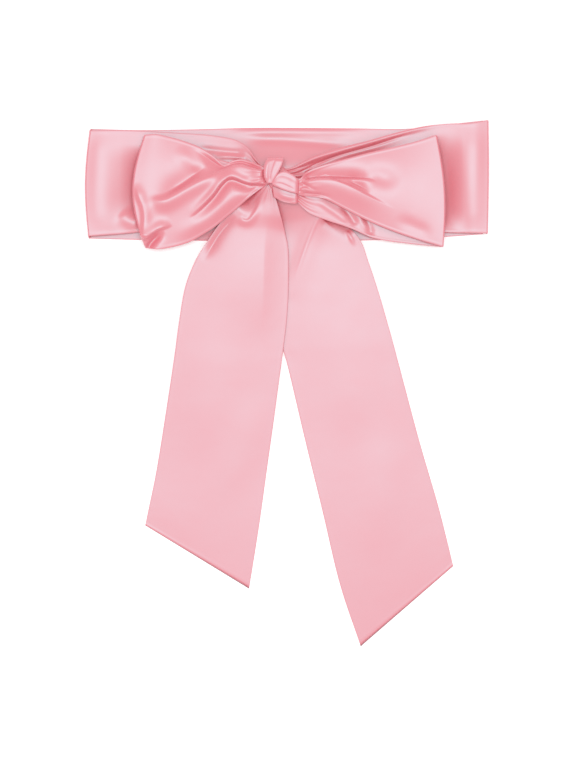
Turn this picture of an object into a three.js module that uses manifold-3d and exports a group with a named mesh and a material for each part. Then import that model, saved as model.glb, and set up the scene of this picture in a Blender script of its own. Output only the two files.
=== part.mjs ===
// A satin waist sash, tied in a bow and laid out flat, in millimetres, +Z up.
// The sash is one long strip: a flattened waist loop (back stretch, two front stretches), a knot,
// two bow loops and two tails. Each stretch is a thin wall of doubled satin.
// The origin is under the middle of the whole outline, on the surface that the sash lies on.
import * as THREE from "three";
import { mergeVertices } from "three/addons/utils/BufferGeometryUtils.js";
import Module from "manifold-3d";

const wasm = await Module();
wasm.setup();

// Driving dimensions.
const CLOTH = 1.2; // wall: satin doubled, seamed along one edge and turned
const GAP = 0.3; // clear air between pieces that meet
const FOLD_GAP = 0.46; // the same at the lower end of a fold, whose end face leans a little
const LIE = CLOTH / 2; // middle of a wall that lies on the surface
const WAIST_TURN = 3.8; // radius of the folds at the two ends of the flattened waist loop
const LEFT_SPREAD = 1.8; // how far the back stretch shows past the front one at the left fold
const RIGHT_SPREAD = 0.4; // and at the right fold
const LEFT_BOW_TURN = 4.5; // radius of the fold at the end of the left bow loop
const RIGHT_BOW_TURN = 4.1; // radius of the fold at the end of the right bow loop
const ACROSS = 8; // cells across a stretch
const PLEATS = 2; // gathers across a stretch where it enters the knot
const PER_SECTION = 2; // cells from one section to the next
const TURN_STEPS = 6; // cells round a fold

const satin = new THREE.MeshStandardMaterial({ color: 0xf0bcc5, roughness: 0.38, metalness: 0 });
const sash = new THREE.Group();

// Sections of each stretch. upper and lower are the two long edges, [x, y, z] at the middle of the wall.
// crown lifts the middle of the section, bow pushes it along +X, and pleat is the height of its gathers.

// Front left of the waist: from the left fold to the knot.
const FRONT_LEFT = [
  { upper: [-175.0, 229.5, 8.2], lower: [-176.5, 133.5, 8.2], crown: 0.0, bow: -3.5, pleat: 0.0 },
  { upper: [-161.0, 229.5, 8.0], lower: [-161.0, 135.0, 7.6], crown: 1.0, bow: -2.0, pleat: 0.0 },
  { upper: [-131.0, 229.0, 6.0], lower: [-133.5, 137.5, 5.6], crown: 0.0, bow: 0.0, pleat: 0.0 },
  { upper: [-92.5, 226.5, 4.6], lower: [-97.5, 143.0, 4.6], crown: 0.4, bow: 0.0, pleat: 0.2 },
  { upper: [-61.0, 223.0, 5.2], lower: [-65.5, 156.0, 5.6], crown: 0.6, bow: 0.0, pleat: 0.6 },
  { upper: [-42.5, 218.5, 7.0], lower: [-44.5, 166.0, 7.4], crown: 0.6, bow: 0.0, pleat: 1.1 },
  { upper: [-32.5, 210.5, 8.6], lower: [-32.0, 173.0, 8.8], crown: 0.4, bow: 0.0, pleat: 1.4 },
  { upper: [-26.0, 200.5, 9.6], lower: [-22.5, 178.5, 9.6], crown: 0.2, bow: 0.0, pleat: 1.2 },
  { upper: [-15.5, 196.0, 10.0], lower: [-13.5, 181.5, 10.0], crown: 0.0, bow: 0.0, pleat: 0.8 },
];

// Front right of the waist: from the right fold to the knot.
const FRONT_RIGHT = [
  { upper: [179.0, 238.5, 8.2], lower: [178.5, 136.0, 8.2], crown: 0.0, bow: 0.5, pleat: 0.0 },
  { upper: [164.5, 236.0, 8.0], lower: [164.0, 136.5, 7.6], crown: 0.8, bow: 0.6, pleat: 0.0 },
  { upper: [145.0, 235.0, 6.2], lower: [145.0, 137.0, 5.8], crown: 0.0, bow: 0.0, pleat: 0.0 },
  { upper: [123.0, 232.0, 5.2], lower: [122.0, 138.5, 5.0], crown: 0.2, bow: 0.0, pleat: 0.2 },
  { upper: [98.0, 226.0, 5.0], lower: [97.0, 142.5, 4.8], crown: 0.4, bow: 0.0, pleat: 0.4 },
  { upper: [73.0, 219.5, 5.4], lower: [72.0, 149.0, 5.0], crown: 0.6, bow: 0.0, pleat: 0.6 },
  { upper: [50.0, 214.5, 6.4], lower: [49.0, 157.5, 5.8], crown: 0.6, bow: 0.0, pleat: 0.9 },
  { upper: [31.0, 208.3, 7.6], lower: [31.0, 164.5, 7.2], crown: 0.4, bow: 0.0, pleat: 1.2 },
  { upper: [16.0, 202.0, 9.0], lower: [16.0, 171.5, 9.0], crown: 0.2, bow: 0.0, pleat: 1.2 },
  { upper: [5.5, 197.0, 10.0], lower: [6.0, 178.0, 10.0], crown: 0.0, bow: 0.0, pleat: 1.0 },
  { upper: [-4.5, 194.0, 10.0], lower: [-3.5, 180.5, 10.0], crown: 0.0, bow: 0.0, pleat: 0.8 },
];

// Front wall of the left bow loop: from the knot to the fold at its end.
const LEFT_BOW_FRONT = [
  { upper: [-12.0, 193.0, 17.6], lower: [-12.0, 182.5, 17.6], crown: 0.4, bow: 0.0, pleat: 1.0 },
  { upper: [-21.0, 195.5, 17.8], lower: [-21.5, 179.5, 17.4], crown: 0.8, bow: 0.0, pleat: 1.5 },
  { upper: [-32.0, 199.5, 17.6], lower: [-33.5, 170.8, 17.0], crown: 1.6, bow: 0.0, pleat: 1.8 },
  { upper: [-42.5, 202.5, 17.4], lower: [-46.5, 162.5, 16.4], crown: 2.2, bow: 0.0, pleat: 1.6 },
  { upper: [-57.5, 203.5, 17.0], lower: [-59.5, 151.5, 15.6], crown: 2.6, bow: 0.0, pleat: 1.2 },
  { upper: [-73.5, 212.0, 17.0], lower: [-74.5, 139.0, 15.2], crown: 2.8, bow: 0.0, pleat: 0.8 },
  { upper: [-89.0, 218.5, 17.2], lower: [-92.0, 131.0, 15.4], crown: 2.6, bow: -1.5, pleat: 0.5 },
  { upper: [-106.5, 223.2, 17.4], lower: [-107.0, 124.5, 16.6], crown: 2.2, bow: -5.0, pleat: 0.2 },
  { upper: [-124.0, 224.5, 17.5], lower: [-122.5, 124.0, 17.5], crown: 0.0, bow: -11.5, pleat: 0.0 },
];

// Back wall of the left bow loop: from the fold to the knot, under the front wall.
const LEFT_BOW_BACK = [
  { upper: [-14.0, 191.5, 13.4], lower: [-14.0, 184.0, 13.4], crown: 0.0, bow: 0.0, pleat: 0.4 },
  { upper: [-24.0, 193.5, 13.2], lower: [-24.0, 182.0, 13.0], crown: 0.0, bow: 0.0, pleat: 0.5 },
  { upper: [-42.5, 198.0, 11.6], lower: [-45.0, 167.5, 11.4], crown: 0.0, bow: 0.0, pleat: 0.4 },
  { upper: [-66.0, 204.5, 9.8], lower: [-68.0, 147.5, 9.8], crown: 0.0, bow: 0.0, pleat: 0.2 },
  { upper: [-94.0, 217.5, 8.9], lower: [-96.0, 129.0, 8.7], crown: -0.2, bow: -1.5, pleat: 0.0 },
  {
    upper: [-124.0 + FOLD_GAP, 224.5, 8.5], lower: [-122.5 + FOLD_GAP, 124.0, 8.5],
    crown: 0.0, bow: -11.5, pleat: 0.0,
  },
];

// Front wall of the right bow loop: from the knot to the fold at its end.
const RIGHT_BOW_FRONT = [
  { upper: [-1.0, 185.0, 17.4], lower: [-1.0, 175.5, 17.2], crown: 0.4, bow: 0.0, pleat: 0.6 },
  { upper: [11.0, 184.5, 17.4], lower: [11.0, 169.8, 17.0], crown: 0.8, bow: 0.0, pleat: 1.4 },
  { upper: [21.0, 188.5, 17.4], lower: [22.5, 167.3, 16.8], crown: 1.4, bow: 0.0, pleat: 1.7 },
  { upper: [35.0, 194.7, 17.0], lower: [37.5, 164.0, 16.4], crown: 2.0, bow: 0.0, pleat: 1.5 },
  { upper: [52.5, 201.5, 16.6], lower: [53.5, 157.5, 16.0], crown: 2.4, bow: 0.0, pleat: 1.2 },
  { upper: [77.5, 209.5, 16.4], lower: [75.5, 148.0, 15.6], crown: 2.4, bow: 0.0, pleat: 0.8 },
  { upper: [102.5, 216.5, 16.4], lower: [101.0, 138.0, 15.6], crown: 2.0, bow: 0.0, pleat: 0.4 },
  { upper: [121.0, 221.7, 16.6], lower: [122.5, 130.5, 16.2], crown: 1.2, bow: 0.5, pleat: 0.2 },
  { upper: [133.5, 224.4, 16.7], lower: [139.5, 123.2, 16.7], crown: 0.0, bow: 2.6, pleat: 0.0 },
];

// Back wall of the right bow loop: its lower edge hangs below the front wall's.
const RIGHT_BOW_BACK = [
  { upper: [-2.0, 182.5, 13.4], lower: [-2.0, 173.0, 13.2], crown: 0.0, bow: 0.0, pleat: 0.4 },
  { upper: [10.0, 183.0, 13.4], lower: [9.5, 163.5, 12.6], crown: 0.0, bow: 0.0, pleat: 0.8 },
  { upper: [21.0, 185.5, 12.8], lower: [20.5, 153.8, 11.6], crown: 0.2, bow: 0.0, pleat: 1.0 },
  { upper: [35.0, 190.5, 11.8], lower: [37.0, 147.2, 10.6], crown: 0.3, bow: 0.0, pleat: 0.8 },
  { upper: [54.0, 196.5, 10.4], lower: [57.0, 140.5, 9.6], crown: 0.2, bow: 0.0, pleat: 0.5 },
  { upper: [80.0, 206.0, 9.2], lower: [80.0, 131.0, 8.6], crown: 0.0, bow: 0.0, pleat: 0.3 },
  { upper: [108.0, 216.0, 8.8], lower: [110.0, 126.2, 8.4], crown: 0.0, bow: 0.0, pleat: 0.0 },
  {
    upper: [133.5 - FOLD_GAP, 224.4, 8.5], lower: [139.5 - FOLD_GAP, 123.2, 8.5],
    crown: 0.0, bow: 2.6, pleat: 0.0,
  },
];

// Left tail: from the knot down to the slanting end. It lies over the right tail.
const LEFT_TAIL = [
  { upper: [-15.0, 184.0, 12.0], lower: [-10.5, 184.0, 12.0], crown: 0.2, bow: 0.0, pleat: 0.2 },
  { upper: [-20.0, 176.5, 11.6], lower: [-12.5, 174.5, 11.8], crown: 0.8, bow: 0.0, pleat: 0.5 },
  { upper: [-32.0, 167.0, 10.2], lower: [-9.0, 164.0, 10.8], crown: 1.4, bow: 0.0, pleat: 0.9 },
  { upper: [-47.5, 156.5, 8.2], lower: [-5.5, 151.5, 9.2], crown: 1.4, bow: 0.0, pleat: 1.0 },
  { upper: [-61.0, 143.0, 6.2], lower: [-2.0, 137.5, 7.2], crown: 1.2, bow: 0.0, pleat: 0.9 },
  { upper: [-73.5, 127.0, 3.8], lower: [1.0, 123.0, 5.6], crown: 0.8, bow: 0.0, pleat: 0.6 },
  { upper: [-83.5, 110.5, 1.8], lower: [1.5, 103.0, 4.2], crown: 0.0, bow: 0.0, pleat: 0.2 },
  { upper: [-92.5, 87.0, 0.6], lower: [1.0, 76.0, 3.2], crown: -0.8, bow: 0.0, pleat: 0.0 },
  { upper: [-98.0, 56.0, 0.6], lower: [-1.0, 50.5, 2.9], crown: -0.8, bow: 0.0, pleat: 0.0 },
  { upper: [-102.5, 23.0, 0.6], lower: [-4.5, 23.0, 2.4], crown: -0.6, bow: 0.0, pleat: 0.0 },
  { upper: [-110.5, -29.5, 0.6], lower: [-11.5, -29.5, 0.6], crown: 0.0, bow: 0.0, pleat: 0.0 },
  { upper: [-118.5, -78.5, 0.6], lower: [-18.3, -78.5, 0.6], crown: 0.0, bow: 0.0, pleat: 0.0 },
  { upper: [-125.5, -113.0, 0.6], lower: [-25.5, -130.0, 0.6], crown: 0.0, bow: 0.0, pleat: 0.0 },
  { upper: [-128.8, -129.0, 0.6], lower: [-34.5, -186.5, 0.6], crown: 0.0, bow: 0.0, pleat: 0.0 },
];

// Right tail: from under the knot to its slanting end.
const RIGHT_TAIL = [
  { upper: [-4.0, 174.5, 7.6], lower: [3.5, 175.5, 7.6], crown: 0.0, bow: 0.0, pleat: 0.2 },
  { upper: [1.5, 166.5, 7.6], lower: [14.0, 166.5, 7.6], crown: 0.0, bow: 0.0, pleat: 0.5 },
  { upper: [2.5, 156.0, 6.8], lower: [30.0, 157.0, 6.8], crown: 0.4, bow: 0.0, pleat: 0.7 },
  { upper: [2.0, 143.0, 5.4], lower: [50.0, 146.5, 5.2], crown: 0.6, bow: 0.0, pleat: 0.7 },
  { upper: [0.0, 127.5, 3.2], lower: [66.0, 130.0, 3.6], crown: 0.6, bow: 0.0, pleat: 0.4 },
  { upper: [-2.5, 108.5, 1.4], lower: [74.5, 108.5, 1.4], crown: 0.2, bow: 0.0, pleat: 0.1 },
  { upper: [-5.5, 83.0, 0.6], lower: [83.0, 83.0, 0.6], crown: 0.0, bow: 0.0, pleat: 0.0 },
  { upper: [-7.0, 57.5, 0.6], lower: [90.5, 57.5, 0.6], crown: 0.0, bow: 0.0, pleat: 0.0 },
  { upper: [-4.5, 35.0, 0.6], lower: [96.8, 35.0, 0.6], crown: 0.0, bow: 0.0, pleat: 0.0 },
  { upper: [1.5, 12.5, 0.6], lower: [102.8, 12.5, 0.6], crown: 0.0, bow: 0.0, pleat: 0.0 },
  { upper: [16.5, -51.5, 0.6], lower: [120.0, -51.5, 0.6], crown: 0.0, bow: 0.0, pleat: 0.0 },
  { upper: [32.5, -117.0, 0.6], lower: [136.5, -108.0, 0.6], crown: 0.0, bow: 0.0, pleat: 0.0 },
  { upper: [48.0, -182.0, 0.6], lower: [146.0, -145.0, 0.6], crown: 0.0, bow: 0.0, pleat: 0.0 },
  { upper: [67.0, -238.9, 0.6], lower: [151.0, -166.0, 0.6], crown: 0.0, bow: 0.0, pleat: 0.0 },
];

// The strand that rises from the crossing and dives over the top of the knot.
const KNOT_UPPER = [
  { upper: [-17.0, 180.5, 17.5], lower: [-11.5, 179.5, 18.5], crown: 1.0, bow: 0.0, pleat: 0.2 },
  { upper: [-19.5, 187.0, 20.5], lower: [-8.5, 186.0, 21.5], crown: 2.6, bow: 0.0, pleat: 0.4 },
  { upper: [-19.5, 195.5, 21.0], lower: [-4.0, 194.5, 21.5], crown: 3.0, bow: 0.0, pleat: 0.5 },
  { upper: [-17.0, 202.0, 17.8], lower: [-2.0, 201.0, 18.0], crown: 2.4, bow: 0.0, pleat: 0.4 },
  { upper: [-16.0, 204.0, 12.8], lower: [-3.0, 203.5, 12.8], crown: 1.0, bow: 0.0, pleat: 0.0 },
];

// The strand that runs right from the crossing and dives round the foot of the right bow loop.
const KNOT_LOWER = [
  { upper: [-8.0, 184.8, 19.0], lower: [-10.5, 178.0, 18.0], crown: 0.8, bow: 0.0, pleat: 0.2 },
  { upper: [-1.5, 190.5, 20.0], lower: [-7.5, 169.5, 18.0], crown: 3.0, bow: 0.0, pleat: 0.6 },
  { upper: [4.5, 188.5, 19.5], lower: [-1.0, 164.5, 16.5], crown: 3.4, bow: 0.0, pleat: 0.6 },
  { upper: [9.0, 184.0, 17.5], lower: [6.0, 163.0, 15.5], crown: 2.4, bow: 0.0, pleat: 0.4 },
  { upper: [10.6, 181.0, 15.0], lower: [8.6, 164.5, 14.6], crown: 1.0, bow: 0.0, pleat: 0.0 },
];

// The hidden turns inside the knot, as one rounded solid.
const CORE = { centre: [-6.5, 183.5, 10.4], half: [17.0, 12.5, 8.4], slant: -0.9 };

// The two largest folds of the bow loops: a soft ridge (+) or trough (-) along a bent line.
const LEFT_BOW_FOLDS = [
  { from: [-24, 189], bend: [-62, 196], to: [-112, 158], width: 8, height: 3.0 },
  { from: [-26, 181], bend: [-58, 186], to: [-92, 154], width: 5, height: -3.0 },
];
const RIGHT_BOW_FOLDS = [
  { from: [16, 178], bend: [52, 178], to: [120, 140], width: 8, height: 2.2 },
  { from: [26, 188], bend: [62, 190], to: [104, 180], width: 9, height: -2.6 },
];
const LEFT_TAIL_FOLDS = [{ from: [-20, 168], bend: [-34, 140], to: [-62, 118], width: 6, height: 2.0 }];
const FOLD_SAMPLES = 16; // points along a fold's line that a cloth point is measured from

// Curve through one edge of a list of sections.
function edgeCurve(sections, edge) {
  const points = sections.map((section) => new THREE.Vector3(...section[edge]));
  return new THREE.CatmullRomCurve3(points, false, "catmullrom", 0.5);
}

// A single column of the sections, read smoothly at t from 0 to 1.
function columnAt(sections, column, t) {
  const at = t * (sections.length - 1);
  const index = Math.min(Math.floor(at), sections.length - 2);
  return THREE.MathUtils.lerp(sections[index][column], sections[index + 1][column], at - index);
}

// Height that a list of folds adds at a point, fading out at both ends of each fold.
function foldHeight(point, folds) {
  let height = 0;
  for (const fold of folds) {
    const line = new THREE.QuadraticBezierCurve(
      new THREE.Vector2(...fold.from), new THREE.Vector2(...fold.bend), new THREE.Vector2(...fold.to));
    let nearest = Infinity;
    let along = 0;
    for (let i = 0; i <= FOLD_SAMPLES; i++) {
      const away = line.getPoint(i / FOLD_SAMPLES).distanceTo(new THREE.Vector2(point.x, point.y));
      if (away < nearest) {
        nearest = away;
        along = i / FOLD_SAMPLES;
      }
    }
    const fade = Math.sin(Math.PI * along) ** 0.5;
    height += fold.height * fade * Math.exp(-((nearest / fold.width) ** 2));
  }
  return height;
}

// Rows of points on the middle of a stretch, section by section; v runs from the upper edge to the lower.
function middleRows(sections, folds = []) {
  const upper = edgeCurve(sections, "upper");
  const lower = edgeCurve(sections, "lower");
  const steps = (sections.length - 1) * PER_SECTION;
  return Array.from({ length: steps + 1 }, (_, i) => {
    const t = i / steps;
    const [top, bottom] = [upper.getPoint(t), lower.getPoint(t)];
    const [crown, bow, pleat] = ["crown", "bow", "pleat"].map((column) => columnAt(sections, column, t));
    return Array.from({ length: ACROSS + 1 }, (_, j) => {
      const v = j / ACROSS;
      const arch = Math.sin(Math.PI * v);
      const point = top.clone().lerp(bottom, v);
      point.x += bow * arch;
      point.z += crown * arch + pleat * Math.sin(2 * Math.PI * PLEATS * v) + foldHeight(point, folds);
      return point.setZ(Math.max(point.z, LIE));
    });
  });
}

// Rows of a half turn that starts level with a row and ends under it, bulging along side (+1 or -1 in X).
// spread is how much wider the lower end is than the upper at each long edge.
function turnRows(row, radius, side, spread = 0) {
  return Array.from({ length: TURN_STEPS }, (_, i) => {
    const angle = (Math.PI * (i + 1)) / TURN_STEPS;
    const reach = side * radius * Math.sin(angle);
    const drop = radius * (1 - Math.cos(angle));
    return row.map((point, j) => {
      const widen = spread * (angle / Math.PI) * (1 - (2 * j) / ACROSS);
      return new THREE.Vector3(point.x + reach, point.y + widen, point.z - drop);
    });
  });
}

// The same rows with a margin of GAP past all four edges, for cutting clear of a wall.
function widened(rows) {
  const past = (edge, inner) => edge.clone().addScaledVector(edge.clone().sub(inner).normalize(), GAP);
  const wide = rows.map((row) => [past(row[0], row[1]), ...row, past(row.at(-1), row.at(-2))]);
  const first = wide[0].map((point, j) => past(point, wide[1][j]));
  const last = wide.at(-1).map((point, j) => past(point, wide.at(-2)[j]));
  return [first, ...wide, last];
}

// A closed wall with its middle on the rows: both faces and the rim all round.
function wall(rows, thickness) {
  const [along, across] = [rows.length, rows[0].length];
  const near = (list, i) => list[THREE.MathUtils.clamp(i, 0, list.length - 1)];
  const faces = [1, -1].map((side) => rows.map((row, i) => row.map((point, j) => {
    const down = near(rows, i + 1)[j].clone().sub(near(rows, i - 1)[j]);
    const over = near(row, j + 1).clone().sub(near(row, j - 1));
    return point.clone().addScaledVector(down.cross(over).normalize(), (side * thickness) / 2);
  })));
  const positions = faces.flat(2).flatMap((point) => point.toArray());
  const id = (face, i, j) => face * along * across + i * across + j;
  const triangles = [];
  const quad = (a, b, c, d) => triangles.push(a, b, c, a, c, d);
  for (let i = 0; i < along - 1; i++) {
    for (let j = 0; j < across - 1; j++) {
      quad(id(0, i, j), id(0, i + 1, j), id(0, i + 1, j + 1), id(0, i, j + 1));
      quad(id(1, i, j), id(1, i, j + 1), id(1, i + 1, j + 1), id(1, i + 1, j));
    }
  }
  for (let i = 0; i < along - 1; i++) {
    quad(id(1, i, 0), id(1, i + 1, 0), id(0, i + 1, 0), id(0, i, 0));
    quad(id(0, i, across - 1), id(0, i + 1, across - 1), id(1, i + 1, across - 1), id(1, i, across - 1));
  }
  for (let j = 0; j < across - 1; j++) {
    quad(id(0, 0, j), id(0, 0, j + 1), id(1, 0, j + 1), id(1, 0, j));
    quad(id(1, along - 1, j), id(1, along - 1, j + 1), id(0, along - 1, j + 1), id(0, along - 1, j));
  }
  const geometry = new THREE.BufferGeometry();
  geometry.setAttribute("position", new THREE.Float32BufferAttribute(positions, 3));
  geometry.setIndex(triangles);
  return solidOf(geometry);
}

// A closed geometry as a solid that can be cut, turned the right way out.
function solidOf(geometry) {
  const bare = new THREE.BufferGeometry();
  bare.setAttribute("position", geometry.getAttribute("position"));
  bare.setIndex(geometry.index);
  const merged = mergeVertices(bare, 1e-4);
  const vertProperties = merged.getAttribute("position").array;
  const triVerts = new Uint32Array(merged.index.array);
  const made = new wasm.Manifold(new wasm.Mesh({ numProp: 3, vertProperties, triVerts }));
  return made.volume() > 0 ? made : solidOf(merged.setIndex([...triVerts].reverse()));
}

// The knot's hidden turns, swollen by clearance when it is used as a cutter.
function coreSolid(clearance) {
  const geometry = new THREE.SphereGeometry(1, 20, 12);
  geometry.scale(...CORE.half.map((half) => half + clearance));
  geometry.rotateZ(CORE.slant);
  geometry.translate(...CORE.centre);
  return solidOf(geometry);
}

// A solid without what the cutters take, keeping only its largest body.
function trimmed(solid, cutters) {
  const bodies = cutters.reduce((left, cutter) => left.subtract(cutter), solid).decompose();
  return bodies.sort((a, b) => b.volume() - a.volume())[0];
}

// Adds a solid to the sash as a named mesh.
function addPiece(name, solid) {
  const { vertProperties, triVerts } = solid.getMesh();
  const geometry = new THREE.BufferGeometry();
  geometry.setAttribute("position", new THREE.BufferAttribute(vertProperties, 3));
  geometry.setIndex(new THREE.BufferAttribute(triVerts, 1));
  geometry.computeVertexNormals();
  const mesh = new THREE.Mesh(geometry, satin);
  mesh.name = name;
  sash.add(mesh);
}

// Fronts of the waist, with the fold at each end.
const frontLeft = middleRows(FRONT_LEFT);
const frontRight = middleRows(FRONT_RIGHT);
const leftFold = turnRows(frontLeft[0], WAIST_TURN, -1, LEFT_SPREAD);
const rightFold = turnRows(frontRight[0], WAIST_TURN, 1, RIGHT_SPREAD);

// How far the back stretch's long edges sag from straight lines between the folds, at a share of its length.
const BACK_EDGE = [
  { share: 0.0, top: 0.0, foot: 0.0 },
  { share: 0.11, top: -1.9, foot: -1.5 },
  { share: 0.5, top: -3.0, foot: -4.2 },
  { share: 0.8, top: -5.9, foot: -3.2 },
  { share: 0.92, top: -2.4, foot: -1.6 },
  { share: 1.0, top: 0.0, foot: 0.0 },
];

// Back of the waist: flat, between the lower ends of the two folds.
function backRows() {
  const [start, end] = [leftFold.at(-1), rightFold.at(-1)];
  const steps = BACK_EDGE.length * PER_SECTION;
  const bulge = (t, column) => {
    const next = BACK_EDGE.findIndex((row) => row.share >= t);
    const [low, high] = [BACK_EDGE[Math.max(next - 1, 0)], BACK_EDGE[next]];
    const part = next > 0 ? (t - low.share) / (high.share - low.share) : 0;
    return THREE.MathUtils.lerp(low[column], high[column], THREE.MathUtils.smoothstep(part, 0, 1));
  };
  return Array.from({ length: steps + 1 }, (_, i) => {
    const t = i / steps;
    return start.map((point, j) => {
      const v = j / ACROSS;
      const row = point.clone().setX(point.x + FOLD_GAP).lerp(end[j].clone().setX(end[j].x - FOLD_GAP), t);
      row.y += THREE.MathUtils.lerp(bulge(t, "top"), bulge(t, "foot"), v);
      return row.setZ(LIE);
    });
  });
}

// Knot first, because every other stretch is trimmed to it.
const upperRows = middleRows(KNOT_UPPER);
const lowerRows = middleRows(KNOT_LOWER);
const swollen = [upperRows, lowerRows].map((rows) => wall(widened(rows), CLOTH + 2 * GAP));
const cutters = [coreSolid(GAP), ...swollen];
const upperWrap = wall(upperRows, CLOTH);
const lowerWrap = trimmed(wall(lowerRows, CLOTH), [swollen[0]]);
const core = trimmed(coreSolid(0), swollen);

addPiece("band_back", wall(backRows(), CLOTH));
addPiece("band_front_left", trimmed(wall([...leftFold.reverse(), ...frontLeft], CLOTH), cutters));
addPiece("band_front_right", trimmed(wall([...rightFold.reverse(), ...frontRight], CLOTH), cutters));

const leftBow = middleRows(LEFT_BOW_FRONT, LEFT_BOW_FOLDS);
const rightBow = middleRows(RIGHT_BOW_FRONT, RIGHT_BOW_FOLDS);
addPiece("bow_left_front",
  trimmed(wall([...leftBow, ...turnRows(leftBow.at(-1), LEFT_BOW_TURN, -1)], CLOTH), cutters));
addPiece("bow_left_back", trimmed(wall(middleRows(LEFT_BOW_BACK), CLOTH), cutters));
addPiece("bow_right_front",
  trimmed(wall([...rightBow, ...turnRows(rightBow.at(-1), RIGHT_BOW_TURN, 1)], CLOTH), cutters));
addPiece("bow_right_back", trimmed(wall(middleRows(RIGHT_BOW_BACK), CLOTH), cutters));

addPiece("tail_left", trimmed(wall(middleRows(LEFT_TAIL, LEFT_TAIL_FOLDS), CLOTH), cutters));
addPiece("tail_right", trimmed(wall(middleRows(RIGHT_TAIL), CLOTH), cutters));

addPiece("knot_core", core);
addPiece("knot_upper_wrap", upperWrap);
addPiece("knot_lower_wrap", lowerWrap);

export default sash;
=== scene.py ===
# %% [markdown]
# # A satin sash, tied in a bow and laid out flat
# The real sash is one long strip of pale pink satin, doubled, sewn along one edge and turned right
# side out. Tied and laid down, it shows a flattened waist loop, a knot, two bow loops and two
# slanted tails. This lesson remakes each stretch of the strip as a thin shell that lies on the
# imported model's solids.

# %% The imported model
from collections import namedtuple

import bpy
import numpy as np
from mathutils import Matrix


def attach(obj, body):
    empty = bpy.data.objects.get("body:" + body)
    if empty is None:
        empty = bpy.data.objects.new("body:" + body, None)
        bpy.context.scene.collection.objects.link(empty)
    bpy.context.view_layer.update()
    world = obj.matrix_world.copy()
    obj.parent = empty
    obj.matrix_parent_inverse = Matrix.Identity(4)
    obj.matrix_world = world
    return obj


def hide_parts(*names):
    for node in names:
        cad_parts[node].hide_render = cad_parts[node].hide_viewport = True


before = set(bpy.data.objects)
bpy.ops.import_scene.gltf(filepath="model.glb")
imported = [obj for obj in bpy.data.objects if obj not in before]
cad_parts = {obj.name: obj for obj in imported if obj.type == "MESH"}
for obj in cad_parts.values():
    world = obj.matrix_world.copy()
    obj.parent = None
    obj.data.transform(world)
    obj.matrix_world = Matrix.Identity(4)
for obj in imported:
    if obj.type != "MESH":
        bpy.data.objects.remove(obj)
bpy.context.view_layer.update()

# %% [markdown]
# ## Sections and smooth lines
# A stretch of ribbon is easiest to describe by the two long edges that a maker would see and feel.
# Each section says where the upper and lower edge are, in millimetres, how much the middle is
# arched up (crown), how far it is pushed along X (bow), and how deep the small gathers are that run
# into the knot. A Catmull-Rom curve passes through every section, so the tables hold only the few
# points that shape the piece.

# %% Smooth lines through a few points
MM = 0.001

Section = namedtuple("Section", "upper lower crown bow gather")


def smooth_line(points, share):
    """Curve through the rows of points, read at shares from 0 to 1 of the row count.
    Between two rows it is the cubic whose slope at a row is half the way from the row before to
    the row after; past the ends the neighbouring row is mirrored."""
    points = np.asarray(points, float)
    padded = np.vstack([2 * points[0] - points[1], points, 2 * points[-1] - points[-2]])
    place = np.clip(share, 0, 1) * (len(points) - 1)
    row = np.minimum(place.astype(int), len(points) - 2)
    part = (place - row)[:, None]
    before, here, there, after = (padded[row + k] for k in range(4))
    curve = 3 * (here - there) + after - before
    bend = 2 * before - 5 * here + 4 * there - after
    return here + 0.5 * part * (there - before + part * (bend + part * curve))


def smooth_step(share):
    """0 below 0, 1 above 1, and an S-shaped rise between."""
    share = np.clip(share, 0, 1)
    return share * share * (3 - 2 * share)


print("a line through 0, 1, 4 at its middle:", smooth_line([[0], [1], [4]], np.array([0.5]))[0, 0])

# %% [markdown]
# ## Folds placed one by one
# Satin shows its folds by the way they catch the light, so every large fold has its own row: the
# line it follows, how wide it is on each side of that line, how high (or deep) it is, and how it
# dies away at its ends. A narrow width on one side and a broad one on the other makes a tuck that
# leans over its neighbour.

# %% Height of the folds at each point of the cloth
Fold = namedtuple("Fold", "line left right height start end power", defaults=(2.0,))
LINE_STEPS = 48
FOLD_REACH = 5.6


def fold_height(plan, folds):
    """Height in mm that the folds add at plan points (..., 2).
    A fold is height * exp(-(distance / width)^power), with its own width to the left and right of
    its line, and it rises and dies over the start and end shares of the line. Power 2 is a soft
    roll, power 1 a crease."""
    flat = plan.reshape(-1, 2)
    total = np.zeros(len(flat))
    for fold in folds:
        line = smooth_line(fold.line, np.linspace(0, 1, LINE_STEPS + 1))
        reach = FOLD_REACH * max(fold.left, fold.right) / fold.power
        near = np.all((flat > line.min(0) - reach) & (flat < line.max(0) + reach), axis=1).nonzero()[0]
        step = np.diff(line, axis=0)
        away = flat[near, None] - line[:-1]
        along = np.clip((away * step).sum(-1) / (step**2).sum(-1), 0, 1)
        miss = np.linalg.norm(away - along[..., None] * step, axis=-1)
        closest = (np.arange(len(near)), miss.argmin(1))
        turn = step[closest[1], 0] * away[closest][:, 1] - step[closest[1], 1] * away[closest][:, 0]
        width = np.where(turn > 0, fold.left, fold.right)
        place = (closest[1] + along[closest]) / LINE_STEPS
        rise = smooth_step(place / fold.start) if fold.start else 1.0
        fall = smooth_step((1 - place) / fold.end) if fold.end else 1.0
        total[near] += fold.height * rise * fall * np.exp(-((miss[closest] / width) ** fold.power))
    return total.reshape(plan.shape[:-1])


# %% [markdown]
# ## From sections to a surface
# The middle of the cloth is ruled from the upper edge to the lower one and then shaped: arched,
# bowed, gathered and folded. Where the strip turns back on itself, rows are added round a half
# circle.

# %% Middle surface of a stretch
FLOOR = 0.27
FOLD_BULGE = 0.35
GATHERS = 5
INNER_EDGE = 0.02
EDGE_INSETS = np.array([0.0, 0.0006, 0.0018, 0.0035, 0.009])


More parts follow.
